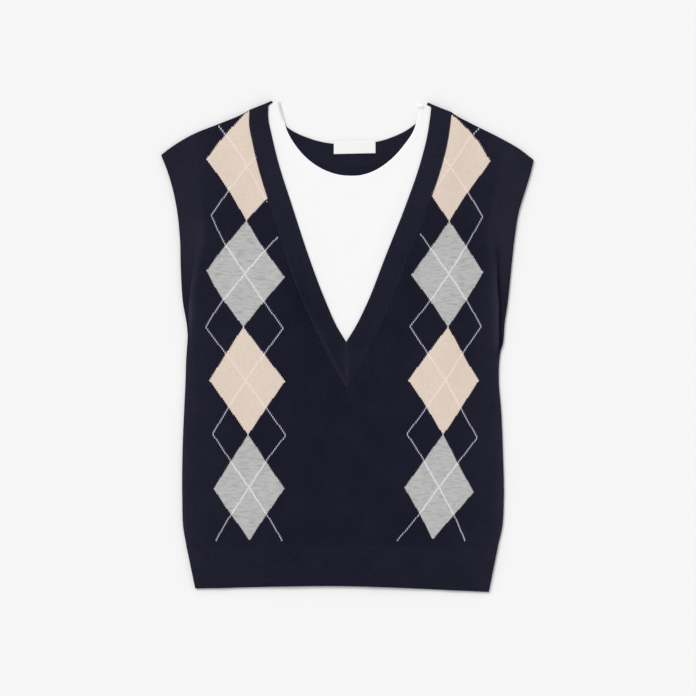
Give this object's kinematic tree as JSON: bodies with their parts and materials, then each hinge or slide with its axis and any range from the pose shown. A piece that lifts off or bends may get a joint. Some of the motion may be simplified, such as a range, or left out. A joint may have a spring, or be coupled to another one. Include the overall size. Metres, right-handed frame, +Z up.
{
  "type": "sleeveless argyle sweater",
  "caption": "Sleeveless argyle sweater laid flat, with wide shoulders, open armholes, a deep V neck over a white round-necked inset, and ribbed hem and neck bands.",
  "frame": {"origin": "middle of the outline on the surface that the garment lies on", "axes": "+Y from the hem to the neck, +Z up through the back, inset and front, +X to the right in the view from above"},
  "size_m": [0.447, 0.589, 0.0074],
  "materials": {
    "argyle_knit": "matt fine knit, navy with beige and grey heather intarsia diamonds",
    "navy_knit": "matt fine knit",
    "navy_rib": "matt fine rib",
    "white_jersey": "smooth matt jersey",
    "label_weave": "close satin weave"
  },
  "bodies": {
    "root": {"back_panel": "navy_knit", "back_hem_band": "navy_rib", "back_neck_band": "navy_rib", "neck_label": "label_weave", "inset_panel": "white_jersey", "front_panel": "argyle_knit", "front_hem_band": "navy_rib", "v_band_left": "navy_rib", "v_band_right": "navy_rib"}
  },
  "joints": []
}
